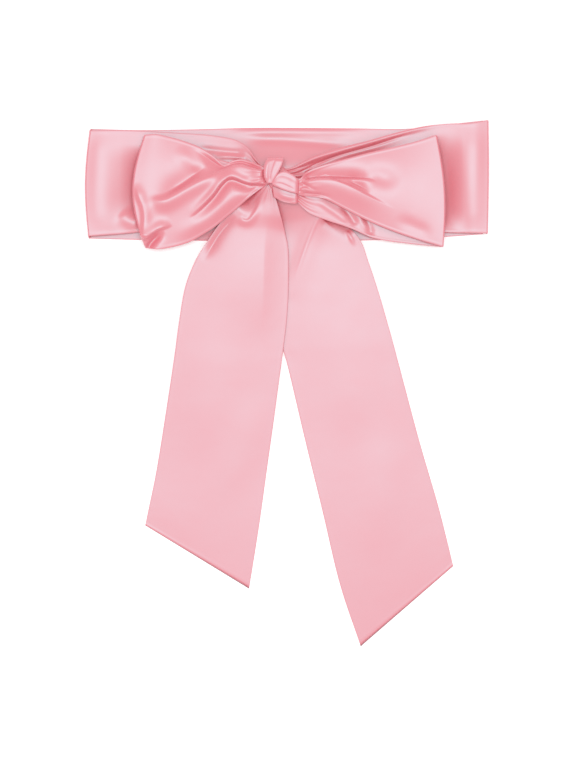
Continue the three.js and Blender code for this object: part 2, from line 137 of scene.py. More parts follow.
def across_shares(count):
    """Shares of the width from 0 to 1, with extra rows close to both edges for the rounded rim."""
    inner = np.linspace(INNER_EDGE, 1 - INNER_EDGE, count)
    return np.concatenate([EDGE_INSETS, inner, 1 - EDGE_INSETS[::-1]])


def stretch(sections, along, across, folds=()):
    """Rows of points in mm, (along, across, 3): point = upper + v (lower - upper), then
    x += bow sin(pi v) and z += crown sin(pi v) + gather sin(2 pi GATHERS v) + folds, kept above
    the floor."""
    share = np.linspace(0, 1, along)
    upper = smooth_line([s.upper for s in sections], share)
    lower = smooth_line([s.lower for s in sections], share)
    crown, bow, gather = smooth_line([(s.crown, s.bow, s.gather) for s in sections], share).T
    v = across_shares(across)
    arch = np.sin(np.pi * v)
    middle = upper[:, None] + v[None, :, None] * (lower - upper)[:, None]
    middle[..., 0] += bow[:, None] * arch
    middle[..., 2] += crown[:, None] * arch + gather[:, None] * np.sin(2 * np.pi * GATHERS * v)
    middle[..., 2] += fold_height(middle[..., :2], folds)
    middle[..., 2] = np.maximum(middle[..., 2], FLOOR)
    return middle


def half_turn(row, foot, side, spread, steps):
    """Rows round a fold from a row down to the height foot: half an ellipse as tall as the drop at
    each point, bulging along X by side, and widening by spread at each edge on the way."""
    angle = np.linspace(0, np.pi, steps + 1)[1:, None]
    radius = (row[:, 2] - foot) / 2
    v = np.linspace(1, -1, len(row))
    x = row[:, 0] + side * FOLD_BULGE * radius * np.sin(angle)
    y = row[:, 1] + spread * v * angle / np.pi
    z = row[:, 2] - radius * (1 - np.cos(angle))
    return np.stack([x, y, z], axis=-1)


# %% [markdown]
# ## From a surface to doubled cloth
# Doubled satin has a soft rounded edge, so the shell's thickness shrinks to nothing in a half round
# at the rim, and a low bead runs just inside it, where the seam allowance lies between the layers.
# Solidify would leave square edges; working both faces out as arrays gives the round rim directly.

# %% Shell round a middle surface
WALL = 0.5
RIM = 0.3
BEAD_IN = 1.5
BEAD_WIDTH = 0.9


def surface_normals(middle):
    """Unit normals from the cross product of the grid's two directions, facing up where the cloth does."""
    down = np.gradient(middle, axis=0)
    over = np.gradient(middle, axis=1)
    normal = np.cross(down, over)
    normal /= np.linalg.norm(normal, axis=-1, keepdims=True)
    return normal


def run_lengths(middle, axis):
    """Length in mm from the first point to each point along one direction of the grid."""
    steps = np.linalg.norm(np.diff(middle, axis=axis), axis=-1)
    first = np.zeros_like(np.take(steps, [0], axis=axis))
    return np.concatenate([first, np.cumsum(steps, axis=axis)], axis=axis)


def edge_distance(middle, axis):
    """Distance in mm to the nearer of the two edges across one direction of the grid."""
    run = run_lengths(middle, axis)
    return np.minimum(run, np.take(run, [-1], axis=axis) - run)


def cloth_piece(name, middle, flip, bead=0.0, end_bead=0.0):
    """Doubled cloth round the middle surface: half the wall on each side, WALL/2 sqrt(1 - (1 - e/RIM)^2) at a
    distance e under RIM from an edge, so that both faces meet there in a half round, plus the beads."""
    long_edge = edge_distance(middle, 1)
    short_edge = edge_distance(middle, 0)
    inside = np.clip(np.minimum(long_edge, short_edge) / RIM, 0, 1)
    half = WALL / 2 * np.sqrt(1 - (1 - inside) ** 2)
    half += bead * np.exp(-(((long_edge - BEAD_IN) / BEAD_WIDTH) ** 2)) * inside
    half += end_bead * np.exp(-(((short_edge - BEAD_IN) / BEAD_WIDTH) ** 2)) * inside
    return closed_shell(name, middle, surface_normals(middle), half, flip)


def closed_shell(name, middle, normal, half, flip):
    """A closed mesh of two grids that share their border: middle + normal * half and
    middle - normal * half."""
    rows, columns = middle.shape[:2]
    offset = normal * half[..., None] * (-1 if flip else 1)
    face = np.arange(rows * columns).reshape(rows, columns)
    back = face.copy()
    back[1:-1, 1:-1] = rows * columns + np.arange((rows - 2) * (columns - 2)).reshape(rows - 2, columns - 2)
    top = (middle + offset).reshape(-1, 3)
    bottom = (middle - offset)[1:-1, 1:-1].reshape(-1, 3)
    corners = [face[:-1, :-1], face[1:, :-1], face[1:, 1:], face[:-1, 1:]]
    under = [back[:-1, :-1], back[:-1, 1:], back[1:, 1:], back[1:, :-1]]
    faces = np.concatenate([np.stack(side, axis=-1).reshape(-1, 4) for side in (corners, under)])
    if flip:
        faces = faces[:, ::-1]
    length = run_lengths(middle, 0)[:, columns // 2]
    chart = np.stack(np.broadcast_arrays(length[:, None], run_lengths(middle, 1)), axis=-1) * MM
    chart = np.concatenate([chart.reshape(-1, 2), chart[1:-1, 1:-1].reshape(-1, 2)])
    return mesh_object(name, np.concatenate([top, bottom]) * MM, faces, chart)


def mesh_object(name, points, faces, chart):
    """A smooth-shaded object from whole arrays; its UV map is the cloth's own length and width in
    metres."""
    mesh = bpy.data.meshes.new(name)
    mesh.from_pydata(points, [], faces)
    mesh.polygons.foreach_set("use_smooth", np.ones(len(faces), bool))
    uv = mesh.uv_layers.new(name="cloth")
    uv.data.foreach_set("uv", chart[faces.reshape(-1)].astype(np.float32).reshape(-1))
    mesh.validate()
    piece = bpy.data.objects.new(name, mesh)
    bpy.context.scene.collection.objects.link(piece)
    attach(piece, "root")
    print(name, "triangles:", 2 * len(faces))
    return piece


# %% [markdown]
# ## The satin
# Satin is bright where it faces the light and falls quickly to a deep coral where it turns away,
# because most of what it shows is a broad soft reflection from its long float threads. A dyed base
# under a smooth, fairly strong reflection gives that; fine threads along the strip and slow
# unevenness in the weave break it up.

# %% Shader arithmetic
class Value:
    """A shader value that can be used in plain arithmetic: every operator adds one Math node."""

    def __init__(self, tree, socket):
        self.tree = tree
        self.socket = socket

    def make(self, kind, settings=(), inputs=(), output=0):
        """Adds a node: its settings first, then its sockets' values or links; returns one output."""
        node = self.tree.nodes.new(kind)
        for name, setting in dict(settings).items():
            setattr(node, name, setting)
        for key, value in dict(inputs).items():
            if isinstance(value, Value):
                self.tree.links.new(value.socket, node.inputs[key])
            else:
                node.inputs[key].default_value = value
        return Value(self.tree, node.outputs[output])

    def maths(self, operation, first, second):
        return self.make("ShaderNodeMath", {"operation": operation}, {0: first, 1: second})

    def __add__(self, other):
        return self.maths("ADD", self, other)

    def __sub__(self, other):
        return self.maths("SUBTRACT", self, other)

    def __rsub__(self, other):
        return self.maths("SUBTRACT", other, self)

    def __mul__(self, other):
        return self.maths("MULTIPLY", self, other)

    __radd__ = __add__
    __rmul__ = __mul__


def new_finish(name):
    """An empty material, its shader node, and a first value to build on."""
    finish = bpy.data.materials.new(name)
    finish.use_nodes = True
    tree = finish.node_tree
    shader = tree.nodes["Principled BSDF"]
    return finish, shader, Value(tree, None)


# %% Satin finish
PINK_DEEP = (0.89, 0.175, 0.216, 1)
PINK_PALE = (0.92, 0.195, 0.238, 1)
GLOSS_TINT = (0.16, 0.95, 1.0, 1)
GLOSS_INDEX = 2.45
GLOSS_ROUGH = 0.42
THREADS_ACROSS = 2600.0
SLUB_LENGTH = 70.0
CLOUD_SCALE = 38.0
CLOUD_TONE = 0.7
THREAD_TONE = 0.3
ROUGH_RANGE = 0.06
CLOUD_RELIEF = 0.8
THREAD_RELIEF = 0.1
RELIEF_STRENGTH = 0.25
RELIEF_DEPTH = 0.0006
SHEEN = {"Sheen Weight": 0.22, "Sheen Roughness": 0.4, "Sheen Tint": (1.0, 0.7, 0.75, 1)}

satin, shader, start = new_finish("satin")
chart = start.make("ShaderNodeUVMap", {"uv_map": "cloth"})
stretched = start.make("ShaderNodeVectorMath", {"operation": "MULTIPLY"},
                       {0: chart, 1: (SLUB_LENGTH, THREADS_ACROSS, 1.0)})
threads = start.make("ShaderNodeTexNoise", {}, {"Vector": stretched, "Scale": 1.0, "Detail": 2.0})
cloudy = start.make("ShaderNodeTexNoise", {}, {"Vector": chart, "Scale": CLOUD_SCALE, "Detail": 3.0})
tone = cloudy * CLOUD_TONE + threads * THREAD_TONE
pink = start.make("ShaderNodeMix", {"data_type": "RGBA"}, {"Factor": tone, "A": PINK_DEEP, "B": PINK_PALE}, 2)
rough = GLOSS_ROUGH + ROUGH_RANGE * (tone - 0.5)
relief = cloudy * CLOUD_RELIEF + threads * THREAD_RELIEF
bump = start.make("ShaderNodeBump", {},
                  {"Height": relief, "Strength": RELIEF_STRENGTH, "Distance": RELIEF_DEPTH})
for socket, value in {"Base Color": pink, "Roughness": rough, "Normal": bump}.items():
    satin.node_tree.links.new(value.socket, shader.inputs[socket])
shader.inputs["IOR"].default_value = GLOSS_INDEX
shader.inputs["Specular Tint"].default_value = GLOSS_TINT
for socket, value in SHEEN.items():
    shader.inputs[socket].default_value = value
print("satin nodes:", len(satin.node_tree.nodes))

# %% [markdown]
# ## Back of the waist loop
# The back stretch lies flat on the surface and shows only between the two front stretches and at
# the lower edge.

# %% Back stretch
BAND_BACK = [
    Section((-178.4, 231.3, 0.5), (-179.9, 131.7, 0.5), 0.0, -3.5, 0.0),
    Section((-137.0, 230.2, 0.5), (-137.0, 130.5, 0.5), 0.2, 0.0, 0.0),
    Section((-86.0, 230.9, 0.5), (-86.0, 129.8, 0.5), 0.8, 0.0, 0.0),
    Section((-35.0, 232.2, 0.6), (-35.0, 129.4, 0.5), 1.4, 0.0, 0.0),
    Section((11.0, 232.2, 0.6), (11.0, 129.4, 0.5), 1.6, 0.0, 0.0),
    Section((62.0, 231.8, 0.6), (62.0, 129.8, 0.5), 1.4, 0.0, 0.0),
    Section((110.0, 231.5, 0.5), (110.0, 131.0, 0.5), 0.8, 0.0, 0.0),
    Section((145.0, 235.2, 0.5), (145.0, 133.2, 0.5), 0.2, 0.0, 0.0),
    Section((178.4, 238.9, 0.5), (178.0, 135.6, 0.5), 0.0, 0.5, 0.0),
]
BAND_BACK_FOLDS = [
    Fold([(-60, 227.5), (-20, 228.5), (30, 228.5), (80, 228)], 2.5, 3.0, 0.8, 0.3, 0.3),
    Fold([(-40, 222), (-2, 221), (32, 218.5), (62, 217.5)], 4.0, 4.0, -1.0, 0.2, 0.3),
    Fold([(-60, 193), (-20, 193), (20, 193), (60, 192)], 19.0, 14.0, 4.8, 0.3, 0.3),
    Fold([(-104, 141), (-82, 141), (-58, 141)], 8.0, 8.0, 2.4, 0.3, 0.3),
]
band_back = cloth_piece("band_back", stretch(BAND_BACK, 240, 70, BAND_BACK_FOLDS), False, 0.12)
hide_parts("band_back")

# %% [markdown]
# ## Fronts of the waist loop
# Each front stretch runs from the knot to the fold at the end of the loop and turns under there. It
# stands highest just inside that fold and sinks towards the bow loop that lies on it, which leaves
# a coral hollow beside the loop.

# %% Left front stretch
WAIST_FOOT = 0.5
FRONT_LEFT = [
    Section((-13.0, 196.0, 10.0), (-13.0, 182.0, 10.0), 0.0, 0.0, 0.3),
    Section((-22.5, 198.5, 9.8), (-22.0, 178.5, 9.4), 0.0, 0.0, 0.3),
    Section((-29.0, 204.5, 9.2), (-27.0, 176.0, 8.8), 0.2, 0.0, 0.3),
    Section((-34.5, 212.5, 8.4), (-32.5, 173.0, 8.4), 0.4, 0.0, 0.2),
    Section((-42.0, 218.5, 7.2), (-42.0, 168.0, 7.2), 0.5, 0.0, 0.1),
    Section((-52.0, 222.3, 6.2), (-54.0, 161.0, 6.4), 0.6, 0.0, 0.0),
    Section((-72.0, 225.5, 5.0), (-75.0, 152.0, 5.0), 0.6, 0.0, 0.0),
    Section((-97.0, 227.2, 4.6), (-100.0, 143.0, 3.6), 0.4, 0.0, 0.0),
    Section((-131.0, 229.0, 5.6), (-133.5, 137.5, 4.6), 0.2, 0.0, 0.0),
    Section((-152.0, 229.5, 7.2), (-152.0, 135.5, 4.8), 1.1, 0.0, 0.0),
    Section((-166.0, 229.5, 8.0), (-166.0, 134.5, 6.0), 1.2, -1.5, 0.0),
    Section((-177.6, 229.3, 7.8), (-179.1, 133.5, 6.4), 0.4, -3.5, 0.0),
]
FRONT_LEFT_FOLDS = [
    Fold([(-167, 227), (-170, 198), (-171, 167), (-169, 137)], 12.0, 9.0, 0.6, 0.2, 0.2),
    Fold([(-131, 217), (-135, 192), (-138, 168), (-135, 146)], 14.0, 16.0, -4.3, 0.3, 0.35, 1.5),
    Fold([(-152, 156), (-143, 148), (-133, 142)], 7.0, 6.0, 1.4, 0.3, 0.3),
    Fold([(-66, 205.5), (-50, 205.5), (-37, 203.5)], 2.0, 2.0, 0.9, 0.3, 0.2),
    Fold([(-86, 214), (-58, 210.5), (-37, 208.5)], 3.0, 3.0, -1.0, 0.3, 0.2),
]
left_rows = stretch(FRONT_LEFT, 220, 90, FRONT_LEFT_FOLDS)
left_rows = np.concatenate([left_rows, half_turn(left_rows[-1], WAIST_FOOT, -1, 1.8, 22)])
band_front_left = cloth_piece("band_front_left", left_rows, True, 0.15)
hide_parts("band_front_left")

# %% Right front stretch
FRONT_RIGHT = [
    Section((-3.0, 194.0, 10.0), (-3.0, 181.0, 10.0), 0.0, 0.0, 0.4),
    Section((5.5, 196.0, 10.2), (6.0, 178.0, 9.6), 0.0, 0.0, 0.5),
    Section((16.0, 201.5, 9.4), (16.0, 172.0, 8.6), 0.0, 0.0, 0.5),
    Section((31.0, 208.0, 8.2), (31.0, 165.0, 7.0), 0.2, 0.0, 0.4),
    Section((50.0, 214.3, 6.8), (49.0, 158.0, 5.6), 0.3, 0.0, 0.2),
    Section((73.0, 220.0, 5.8), (72.0, 149.0, 4.6), 0.3, 0.0, 0.0),
    Section((98.0, 227.2, 5.4), (97.0, 143.0, 4.2), 0.2, 0.0, 0.0),
    Section((123.0, 233.0, 5.4), (122.0, 138.5, 4.6), 0.0, 0.0, 0.0),
    Section((145.0, 235.4, 6.4), (145.0, 137.0, 4.9), 0.0, 0.0, 0.0),
    Section((160.0, 235.8, 7.8), (160.0, 136.5, 5.4), 1.9, 0.0, 0.0),
    Section((170.0, 236.5, 8.6), (169.5, 136.3, 6.4), 1.7, 0.3, 0.0),
    Section((181.3, 238.6, 7.8), (180.9, 136.0, 6.4), 1.2, 0.5, 0.0),
]
FRONT_RIGHT_FOLDS = [
    Fold([(170, 233), (168, 198), (167, 167), (168, 139)], 9.0, 12.0, 0.6, 0.2, 0.2),
    Fold([(131, 226), (138, 203), (142, 178), (142, 155), (139, 138)], 14.0, 9.0, -4.4, 0.25, 0.3, 1.6),
    Fold([(4, 192.5), (22, 202.5), (41, 209), (71, 217.5), (98, 225.3), (119, 230.5), (139, 233)],
         1.4, 2.0, 1.2, 0.1, 0.3),
    Fold([(5, 189), (21, 196), (36, 203), (52, 208.5), (79, 216), (99, 222.6), (117, 228)],
         1.2, 1.2, -1.1, 0.1, 0.3),
    Fold([(10, 184), (26, 191.5), (41, 197.5), (71, 206.5), (94, 213.3), (130, 222.5)],
         7.0, 5.0, -3.2, 0.2, 0.4, 1.6),
]
right_rows = stretch(FRONT_RIGHT, 240, 90, FRONT_RIGHT_FOLDS)
right_rows = np.concatenate([right_rows, half_turn(right_rows[-1], WAIST_FOOT, 1, 0.4, 22)])
band_front_right = cloth_piece("band_front_right", right_rows, False, 0.15)
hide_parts("band_front_right")

# %% [markdown]
# ## The bow loops
# A bow loop is one run of the strip: out from the knot along its upper wall, round the fold at its
# end and back along its lower wall. Both walls are gathered hard at the knot, and the upper wall
# carries the deepest folds.

# %% Closing a loop
def bow_loop(front, back, foot, side, turn_steps):
    """Front wall, the fold at its end and the back wall as one run of rows. The back wall's own
    table is eased onto the end of the fold: its first row is moved there, and the shift dies away
    along the first half of the wall."""
    fold = half_turn(front[-1], foot, side, 0.0, turn_steps)
    ease = (1 - smooth_step(np.linspace(0, 2, len(back))))[:, None, None]
    joined = back + ease * (fold[-1] - back[0])
    return np.concatenate([front, fold, joined[1:]])


# %% Left bow loop
BOW_LEFT_FRONT = [
    Section((-13.0, 192.5, 17.4), (-13.0, 182.0, 17.0), 0.4, 0.0, 0.1),
    Section((-19.0, 195.0, 17.4), (-19.0, 179.0, 16.4), 0.6, 0.0, 0.15),
    Section((-26.5, 197.8, 16.8), (-26.5, 174.0, 15.4), 1.2, 0.0, 0.15),
    Section((-33.5, 200.8, 14.4), (-33.5, 168.5, 14.2), 2.2, 0.0, 0.1),
    Section((-41.0, 202.8, 13.6), (-41.0, 162.0, 13.0), 3.0, 0.0, 0.0),
    Section((-50.0, 201.3, 13.0), (-48.5, 155.5, 12.0), 3.5, 0.0, 0.0),
    Section((-57.5, 198.0, 12.6), (-56.0, 149.5, 11.4), 4.0, 0.0, 0.0),
    Section((-67.5, 206.5, 12.4), (-65.5, 141.5, 11.0), 4.4, 0.0, 0.0),
    Section((-79.0, 213.8, 12.4), (-76.5, 134.5, 10.8), 4.6, 0.0, 0.0),
    Section((-91.0, 218.5, 12.6), (-88.0, 128.0, 11.2), 4.4, -1.0, 0.0),
    Section((-104.5, 222.5, 13.4), (-102.5, 123.5, 12.4), 3.8, -3.0, 0.0),
    Section((-118.0, 225.3, 15.0), (-116.5, 121.3, 14.4), 2.4, -7.0, 0.0),
    Section((-127.5, 224.8, 15.0), (-127.0, 122.5, 15.4), 1.6, -11.0, 0.0),
]
BOW_LEFT_FOLDS = [
    Fold([(-19, 189.5), (-32, 193), (-43, 195.5), (-54, 193), (-66, 187), (-77, 182.5), (-92, 175),
          (-101, 169.5), (-110, 165), (-119, 164.5), (-127, 168)], 8.0, 4.0, 2.8, 0.04, 0.2),
    Fold([(-17, 180.5), (-35, 181.5), (-50, 186.8), (-58.5, 182), (-68, 170), (-81, 157), (-90, 150)],
         0.9, 4.5, 2.2, 0.05, 0.4),
    Fold([(-17, 178.5), (-35, 179.3), (-50, 184), (-58, 179), (-67, 167), (-80, 154.5), (-89, 148)],
         6.0, 1.2, -3.0, 0.05, 0.4),
    Fold([(-20, 193), (-26, 194.5), (-33, 197), (-42, 199.3), (-50, 198), (-58, 195), (-68, 192)],
         1.5, 1.8, -2.2, 0.2, 0.4),
    Fold([(-50, 197), (-59, 196), (-67, 200.5), (-75, 206), (-88, 213)], 9.0, 2.0, -3.0, 0.4, 0.5, 1.4),
    Fold([(-72, 197), (-84, 189), (-95, 181), (-107, 173.5), (-120, 166)], 3.6, 12.0, -4.0, 0.25, 0.45, 1.5),
    Fold([(-101, 214), (-88, 200), (-77, 189)], 6.0, 6.0, 1.0, 0.4, 0.4),
    Fold([(-137, 182), (-133.5, 169), (-130, 160), (-128.5, 150), (-129.5, 138), (-130.5, 131)],
         6.0, 2.6, 1.8, 0.2, 0.1),
    Fold([(-103, 144), (-110, 141.5), (-118, 138.3), (-129, 130)], 1.0, 6.0, 2.2, 0.5, 0.0),
    Fold([(-110, 137.5), (-117, 133.5), (-123, 127.5), (-126, 122)], 4.0, 2.2, -4.4, 0.5, 0.0),
    Fold([(-30, 174), (-44, 170), (-58, 161), (-72, 149.5), (-90, 139), (-106, 131)],
         7.0, 7.0, 1.0, 0.2, 0.3),
]
BOW_LEFT_BACK = [
    Section((-123.5, 224.5, 8.5), (-122.0, 123.5, 8.5), 0.0, -11.0, 0.0),
    Section((-94.0, 217.5, 8.7), (-96.0, 126.0, 8.5), -0.2, -1.5, 0.0),
    Section((-66.0, 204.5, 9.6), (-68.0, 147.5, 9.6), 0.0, 0.0, 0.2),
    Section((-42.5, 198.0, 11.2), (-45.0, 167.5, 11.0), 0.0, 0.0, 0.3),
    Section((-24.0, 193.5, 12.8), (-24.0, 180.0, 12.6), 0.0, 0.0, 0.4),
    Section((-14.0, 191.5, 13.2), (-14.0, 183.0, 13.2), 0.0, 0.0, 0.3),
]
BOW_LEFT_FOOT = 8.0
bow_left_rows = bow_loop(stretch(BOW_LEFT_FRONT, 220, 116, BOW_LEFT_FOLDS), stretch(BOW_LEFT_BACK, 60, 116),
                         BOW_LEFT_FOOT, -1, 22)
bow_left = cloth_piece("bow_left", bow_left_rows, True, 0.18)
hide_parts("bow_left_front", "bow_left_back")

# %% Right bow loop
BOW_RIGHT_FRONT = [
    Section((0.0, 186.0, 17.0), (0.0, 175.5, 16.6), 0.4, 0.0, 0.1),
    Section((10.7, 184.8, 17.0), (11.0, 170.2, 16.0), 0.6, 0.0, 0.15),
    Section((18.0, 191.3, 16.6), (21.0, 169.0, 15.2), 0.9, 0.0, 0.1),
    Section((32.3, 197.3, 14.2), (34.5, 166.5, 14.0), 1.9, 0.0, 0.0),
    Section((50.0, 202.4, 13.2), (52.0, 157.8, 12.8), 2.6, 0.0, 0.0),
    Section((72.0, 208.4, 12.6), (73.0, 147.2, 12.0), 3.2, 0.0, 0.0),
    Section((95.0, 213.6, 12.6), (97.0, 137.4, 11.8), 3.4, 0.0, 0.0),
    Section((117.0, 219.0, 13.2), (119.0, 130.0, 12.6), 2.8, 1.5, 0.0),
    Section((134.2, 224.3, 14.6), (140.2, 123.6, 14.6), 1.4, 4.2, 0.0),
]
BOW_RIGHT_FOLDS = [
    Fold([(12, 181), (24, 184), (36, 184.5), (50, 180.4), (62, 175), (73, 169), (85, 163), (100, 155)],
         1.6, 12.0, 2.4, 0.1, 0.5),
    Fold([(14, 184), (23, 186.5), (35, 187.5), (53, 187), (71, 186), (82, 183)],
         8.0, 1.6, -4.6, 0.15, 0.4, 1.4),
    Fold([(52, 184), (60, 181.5), (67, 178), (77, 172)], 5.0, 1.8, -2.6, 0.35, 0.4, 1.4),
    Fold([(70, 190), (86, 186.5), (104, 179)], 9.0, 9.0, -1.8, 0.45, 0.45),
    Fold([(11, 182), (17, 179), (23, 175.5), (30, 173.5)], 1.8, 2.2, -1.2, 0.2, 0.5),
    Fold([(11, 172), (20, 171.5), (30, 170.5), (42, 168)], 1.6, 2.2, -1.8, 0.2, 0.5),
    Fold([(11, 175.5), (18, 175), (27, 173.5)], 1.8, 1.8, 0.8, 0.2, 0.5),
    Fold([(96, 150), (116, 141), (134, 133)], 6.0, 5.0, -0.8, 0.4, 0.4),
]
BOW_RIGHT_BACK = [
    Section((133.0, 224.4, 8.5), (139.0, 123.2, 8.5), 0.0, 2.6, 0.0),
    Section((108.0, 216.0, 8.6), (110.0, 126.2, 8.2), 0.0, 0.0, 0.0),
    Section((80.0, 206.0, 9.0), (80.0, 131.0, 8.6), 0.0, 0.0, 0.0),
    Section((54.0, 196.5, 10.0), (57.0, 140.5, 9.6), 0.2, 0.0, 0.0),
    Section((35.0, 190.5, 11.2), (37.0, 147.2, 10.8), 0.4, 0.0, 0.0),
    Section((21.0, 185.5, 12.4), (20.5, 153.8, 11.8), 0.6, 0.0, 0.2),
    Section((10.0, 183.0, 13.0), (9.5, 163.5, 12.6), 0.4, 0.0, 0.4),
    Section((-2.0, 182.5, 13.0), (-2.0, 173.0, 13.0), 0.0, 0.0, 0.3),
]
BOW_RIGHT_BACK_FOLDS = [
    Fold([(24, 168), (36, 160), (49, 151), (56, 144)], 4.0, 3.0, 0.9, 0.3, 0.3),
    Fold([(47, 162), (56, 153), (63, 142)], 3.2, 2.4, -1.3, 0.4, 0.2),
    Fold([(57, 160), (66, 149), (74, 137)], 3.6, 3.0, 0.8, 0.4, 0.2),
    Fold([(66, 156), (73, 145), (77, 133)], 2.4, 3.4, -1.4, 0.4, 0.2),
]
BOW_RIGHT_FOOT = 8.0
bow_right_rows = bow_loop(stretch(BOW_RIGHT_FRONT, 220, 116, BOW_RIGHT_FOLDS),
                          stretch(BOW_RIGHT_BACK, 100, 116, BOW_RIGHT_BACK_FOLDS), BOW_RIGHT_FOOT, 1, 22)
bow_right = cloth_piece("bow_right", bow_right_rows, False, 0.18)
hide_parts("bow_right_front", "bow_right_back")

# %% [markdown]
# ## The tails
# Both tails come out of the knot gathered, spread to the full width of the strip as they come down
# to the surface, and lie flat to their slanted, hemmed ends. The left tail lies over the edge of
# the right one.

# %% Left tail
TAIL_LEFT = [
    Section((-16.5, 184.0, 13.0), (-11.5, 184.0, 13.0), 0.2, 0.0, 0.0),
    Section((-23.0, 179.0, 12.4), (-12.5, 174.5, 12.6), 0.6, 0.0, 0.1),
    Section((-36.5, 170.5, 11.2), (-9.0, 164.0, 11.4), 1.0, 0.0, 0.1),
    Section((-50.5, 159.0, 10.0), (-5.5, 151.5, 9.6), 1.4, 0.0, 0.0),
    Section((-62.0, 144.0, 7.4), (-2.0, 137.5, 5.8), 1.4, 0.0, 0.0),
    Section((-73.5, 127.0, 5.6), (1.0, 123.0, 4.7), 1.4, 0.0, 0.0),
    Section((-83.5, 110.5, 4.8), (1.5, 103.0, 4.5), 1.4, 0.0, 0.0),
    Section((-92.5, 87.0, 4.3), (1.0, 76.0, 4.1), 1.4, 0.0, 0.0),
    Section((-98.0, 56.0, 3.7), (-1.0, 50.5, 3.6), 1.2, 0.0, 0.0),
    Section((-102.5, 23.0, 2.7), (-4.5, 23.0, 2.9), 1.0, 0.0, 0.0),
    Section((-110.5, -29.5, 1.2), (-11.5, -29.5, 1.3), 0.8, 0.0, 0.0),
    Section((-118.5, -78.5, 0.4), (-18.3, -78.5, 0.4), 0.6, 0.0, 0.0),
    Section((-125.5, -113.0, 0.4), (-25.5, -130.0, 0.4), 0.3, 0.0, 0.0),
    Section((-128.8, -129.0, 0.3), (-34.5, -186.5, 0.3), 0.0, 0.0, 0.0),
]
TAIL_LEFT_FOLDS = [
    Fold([(-19, 180), (-28, 173.5), (-36, 167.5), (-46, 159.5)], 12.0, 6.0, -5.0, 0.6, 0.35, 1.6),
    Fold([(-17, 176), (-24, 164), (-29.5, 153.5), (-34.5, 147.5), (-39.5, 147.5), (-43.5, 152)],
         4.0, 1.8, 1.0, 0.45, 0.2),
    Fold([(-46, 152.5), (-59, 138.5), (-68.5, 124), (-76, 109)], 5.0, 4.0, -2.2, 0.2, 0.4, 1.3),
    Fold([(-62, 70), (-70, 0), (-78, -80)], 26.0, 30.0, 0.7, 0.4, 0.4),
    Fold([(-20, 0), (-40, -60), (-75, -120)], 18.0, 20.0, 0.5, 0.4, 0.4),
    Fold([(-16, 158), (-20, 130), (-21.5, 103), (-22.5, 67), (-23.5, 30)], 16.0, 60.0, 2.4, 0.4, 0.5, 1.2),
]
tail_left = cloth_piece("tail_left", stretch(TAIL_LEFT, 270, 84, TAIL_LEFT_FOLDS), False, 0.06, 0.12)
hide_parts("tail_left")

# %% Right tail
TAIL_RIGHT = [
    Section((-13.0, 176.5, 11.6), (3.5, 175.5, 12.4), 0.0, 0.0, 0.0),
    Section((-13.0, 168.0, 10.4), (14.0, 166.5, 11.2), 0.0, 0.0, 0.0),
    Section((-11.0, 157.0, 8.0), (30.0, 157.0, 9.2), 0.0, 0.0, 0.0),
    Section((-9.0, 144.0, 5.2), (50.0, 146.5, 7.2), 0.2, 0.0, 0.0),
    Section((-7.0, 128.5, 3.2), (66.0, 130.5, 5.4), 0.7, 0.0, 0.0),
    Section((-6.0, 108.5, 2.9), (74.5, 108.5, 4.4), 1.0, 0.0, 0.0),
    Section((-6.5, 83.0, 2.9), (83.0, 83.0, 4.0), 0.9, 0.0, 0.0),
    Section((-7.0, 57.5, 2.4), (90.5, 57.5, 3.4), 0.8, 0.0, 0.0),
    Section((-4.5, 35.0, 1.9), (96.8, 35.0, 2.8), 0.8, 0.0, 0.0),
    Section((1.5, 12.5, 1.4), (102.8, 12.5, 2.1), 0.8, 0.0, 0.0),
    Section((16.5, -51.5, 0.5), (120.0, -51.5, 0.6), 0.8, 0.0, 0.0),
    Section((32.5, -117.0, 0.4), (136.5, -108.0, 0.4), 0.6, 0.0, 0.0),
    Section((48.0, -182.0, 0.4), (146.0, -145.0, 0.4), 0.3, 0.0, 0.0),
    Section((67.0, -238.9, 0.3), (151.0, -166.0, 0.3), 0.0, 0.0, 0.0),
]
TAIL_RIGHT_FOLDS = [
    Fold([(31, 152), (26, 145), (18, 126), (10, 103), (4, 85), (1, 72)], 11.0, 8.0, 1.1, 0.05, 0.5),
    Fold([(31, 152), (26, 145), (18, 126), (10, 103), (4, 85)], 1.5, 1.5, 0.35, 0.1, 0.5),
    Fold([(-14, 174), (-11, 162), (-8.5, 149), (-6.5, 136), (-5, 120)], 14.0, 8.0, -3.0, 0.02, 0.5, 1.5),
    Fold([(40, 80), (58, 10), (70, -60)], 28.0, 26.0, 0.7, 0.4, 0.4),
    Fold([(95, -20), (85, -90), (80, -170)], 22.0, 20.0, 0.5, 0.4, 0.4),
    Fold([(33, 154), (48, 147), (64, 139)], 9.0, 7.0, -3.2, 0.15, 0.25),
    Fold([(54, 139), (58, 132), (62, 124)], 1.8, 1.8, 0.8, 0.2, 0.5),
]
tail_right = cloth_piece("tail_right", stretch(TAIL_RIGHT, 270, 84, TAIL_RIGHT_FOLDS), False, 0.06, 0.12)
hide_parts("tail_right")

# %% [markdown]
# ## The knot
# Two strands of gathered satin wrap round the hidden turns: one rises from the crossing and dives
# over the top, the other runs to the right and dives at the foot of the right loop. A third turn
# shows just below it.

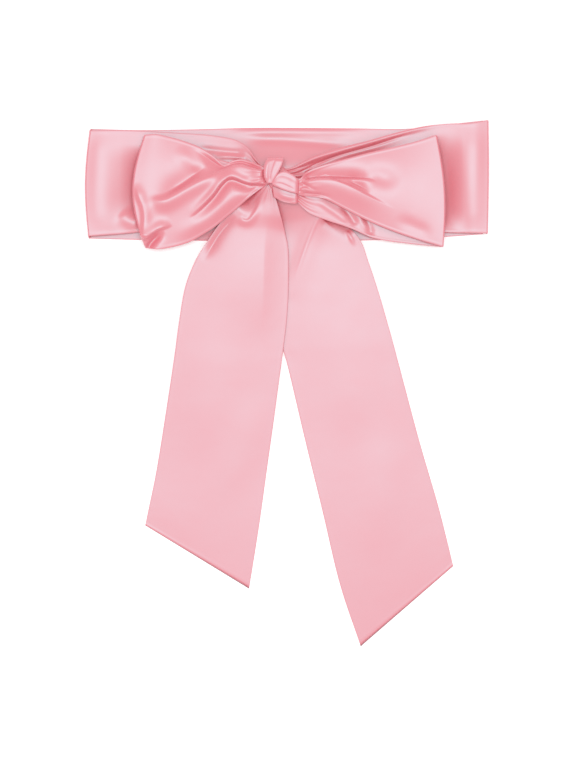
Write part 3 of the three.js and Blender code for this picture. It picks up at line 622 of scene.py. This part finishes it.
# %% Knot strands
KNOT_UPPER = [
    Section((-18.2, 180.8, 20.0), (-13.2, 180.2, 20.2), 0.4, 0.0, 0.0),
    Section((-20.6, 186.0, 20.8), (-10.8, 185.0, 21.0), 0.6, 0.0, 0.0),
    Section((-21.0, 191.5, 21.1), (-7.4, 191.2, 21.3), 0.7, 0.0, 0.0),
    Section((-20.3, 197.5, 21.1), (-4.6, 197.0, 21.3), 0.7, 0.0, 0.0),
    Section((-18.4, 201.8, 20.4), (-3.4, 201.2, 20.8), 0.7, 0.0, 0.0),
    Section((-16.4, 204.2, 17.4), (-3.0, 203.6, 17.6), 0.55, 0.0, 0.0),
    Section((-15.4, 204.8, 9.0), (-4.0, 204.2, 9.0), 0.17, 0.0, 0.0),
]
KNOT_UPPER_FOLDS = [
    Fold([(-15.5, 181), (-15.2, 189), (-13, 197), (-10.5, 203)], 2.0, 1.6, -0.6, 0.2, 0.2, 1.4),
    Fold([(-17.5, 182), (-18.8, 188), (-17.8, 196), (-15.5, 203)], 1.6, 1.4, 0.4, 0.2, 0.3),
]
KNOT_LOWER = [
    Section((-13.8, 182.4, 19.6), (-13.4, 179.2, 19.6), 0.2, 0.0, 0.0),
    Section((-9.8, 188.0, 20.5), (-8.8, 177.0, 20.4), 0.5, 0.0, 0.0),
    Section((-3.0, 191.2, 20.8), (-3.2, 174.6, 20.7), 0.6, 0.0, 0.0),
    Section((3.8, 189.0, 20.6), (3.0, 172.6, 20.6), 0.6, 0.0, 0.0),
    Section((9.2, 184.8, 20.0), (8.4, 171.4, 20.0), 0.5, 0.0, 0.0),
    Section((11.0, 182.4, 16.4), (10.4, 170.8, 15.8), 0.44, 0.0, 0.0),
    Section((10.8, 181.6, 9.0), (10.2, 171.2, 9.0), 0.00, 0.0, 0.0),
]
KNOT_LOWER_FOLDS = [
    Fold([(-11, 186), (-4, 187.5), (4, 184.5), (10, 180)], 1.4, 1.8, -0.22, 0.4, 0.3),
    Fold([(-12, 180.5), (-5, 180), (2, 177), (8, 174)], 1.0, 1.4, -0.25, 0.3, 0.4),
]
KNOT_UNDER = [
    Section((-13.5, 178.6, 15.8), (-12.0, 168.5, 15.2), 0.3, 0.0, 0.0),
    Section((-4.0, 176.0, 17.4), (-4.0, 164.2, 16.7), 0.5, 0.0, 0.0),
    Section((4.5, 173.5, 17.4), (4.5, 162.4, 16.6), 0.5, 0.0, 0.0),
    Section((9.2, 172.0, 16.4), (8.8, 162.6, 15.6), 0.4, 0.0, 0.0),
    Section((10.2, 171.5, 9.0), (9.8, 163.2, 8.0), 0.0, 0.0, 0.0),
]
KNOT_UNDER_FOLDS = [
    Fold([(-9, 172), (-2, 169.5), (4, 168), (9, 167.5)], 1.6, 2.0, 0.25, 0.3, 0.3),
    Fold([(-10, 168), (-2, 165), (6, 163.5)], 2.0, 2.0, -0.6, 0.3, 0.3),
]
knot_upper = cloth_piece("knot_upper", stretch(KNOT_UPPER, 90, 60, KNOT_UPPER_FOLDS), True, 0.1)
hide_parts("knot_upper_wrap")
knot_lower = cloth_piece("knot_lower", stretch(KNOT_LOWER, 90, 60, KNOT_LOWER_FOLDS), False, 0.1)
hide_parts("knot_lower_wrap")
knot_under = cloth_piece("knot_under", stretch(KNOT_UNDER, 70, 44, KNOT_UNDER_FOLDS), False, 0.1)

# %% Hidden turns of the knot
CORE_CENTRE = (-6.5, 183.5, 10.4)
CORE_HALF = (16.0, 11.5, 7.6)
CORE_SLANT = -0.9
CORE_STREAKS = 9
CORE_STREAK_DEPTH = 0.03
CORE_ROWS = 61


def knot_turns():
    """A flattened round body on a square grid: (u, v) goes to the disc point
    (u sqrt(1 - v^2/2), v sqrt(1 - u^2/2)), and the half height is the z of CORE_HALF times
    sqrt(1 - r^2) with shallow streaks along it; the plan is turned by the slant."""
    u, v = np.meshgrid(np.linspace(-1, 1, CORE_ROWS), np.linspace(-1, 1, CORE_ROWS), indexing="ij")
    across = u * np.sqrt(1 - v**2 / 2)
    along = v * np.sqrt(1 - u**2 / 2)
    x, y = CORE_HALF[0] * across, CORE_HALF[1] * along
    cos, sin = np.cos(CORE_SLANT), np.sin(CORE_SLANT)
    middle = np.stack([x * cos - y * sin, x * sin + y * cos, np.zeros_like(x)], axis=-1) + CORE_CENTRE
    height = CORE_HALF[2] * np.sqrt(np.clip(1 - across**2 - along**2, 0, 1))
    height *= 1 + CORE_STREAK_DEPTH * np.sin(CORE_STREAKS * np.pi * along)
    up = np.broadcast_to([0.0, 0.0, 1.0], middle.shape)
    return closed_shell("knot_core", middle, up, height, False)


knot_core = knot_turns()
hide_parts("knot_core")

# %% Satin on every piece
pieces = [band_back, band_front_left, band_front_right, bow_left, bow_right, tail_left, tail_right,
          knot_upper, knot_lower, knot_under, knot_core]
for piece in pieces:
    piece.data.materials.append(satin)
print("pieces:", len(pieces), "triangles:", sum(2 * len(piece.data.polygons) for piece in pieces))

# %% [markdown]
# ## What was cut
# Every stretch belongs to one strip 100 mm wide.

# %% [markdown]
# ## Floor, light and camera
# The sash was photographed from straight above on white, under one broad soft light that leans a
# little towards the top of the waist band. The camera stands far off with a long lens, so that
# heights hardly shift the outline.

# %% Floor
FLOOR_GLOW = 0.2


def pale_floor(half):
    """A square of white paper at height 0, with a little light of its own so it stays white."""
    mesh = bpy.data.meshes.new("floor")
    corners = np.array([(-1, -1), (1, -1), (1, 1), (-1, 1)]) * half
    mesh.from_pydata([(x, y, 0.0) for x, y in corners], [], [(0, 1, 2, 3)])
    floor = bpy.data.objects.new("floor", mesh)
    bpy.context.scene.collection.objects.link(floor)
    finish, floor_shader, first = new_finish("white paper")
    grain = first.make("ShaderNodeTexNoise", {}, {"Scale": 3.0, "Detail": 2.0})
    floor_rough = 0.85 + 0.1 * grain
    finish.node_tree.links.new(floor_rough.socket, floor_shader.inputs["Roughness"])
    floor_shader.inputs["Base Color"].default_value = (0.985, 0.985, 0.985, 1)
    floor_shader.inputs["Specular IOR Level"].default_value = 0.0
    floor_shader.inputs["Emission Color"].default_value = (1, 1, 1, 1)
    floor_shader.inputs["Emission Strength"].default_value = FLOOR_GLOW
    mesh.materials.append(finish)


pale_floor(4.0)

# %% Light
def soft_box(name, place, width, depth, power):
    """A rectangular area light that faces the middle of the sash."""
    light = bpy.data.lights.new(name, "AREA")
    light.shape = "RECTANGLE"
    light.size = width
    light.size_y = depth
    light.energy = power
    box = bpy.data.objects.new(name, light)
    box.location = place
    box.rotation_euler = box.location.to_track_quat("Z", "Y").to_euler()
    bpy.context.scene.collection.objects.link(box)


SKY = 0.79
soft_box("overhead", (0.0, 0.36, 3.2), 1.9, 1.0, 38.0)
world = bpy.data.worlds.new("studio")
world.use_nodes = True
world.node_tree.nodes["Background"].inputs["Color"].default_value = (1, 1, 1, 1)
world.node_tree.nodes["Background"].inputs["Strength"].default_value = SKY
bpy.context.scene.world = world
bpy.context.scene.view_settings.view_transform = "Standard"

# %% Camera
FRAME_HEIGHT = 0.698
LENS = 135.0
SENSOR = 36.0
camera = bpy.data.objects.new("camera", bpy.data.cameras.new("camera"))
camera.data.lens = LENS
camera.data.sensor_width = SENSOR
camera.location = (0.0009, -0.0005, FRAME_HEIGHT * LENS / SENSOR)
bpy.context.scene.collection.objects.link(camera)
bpy.context.scene.camera = camera
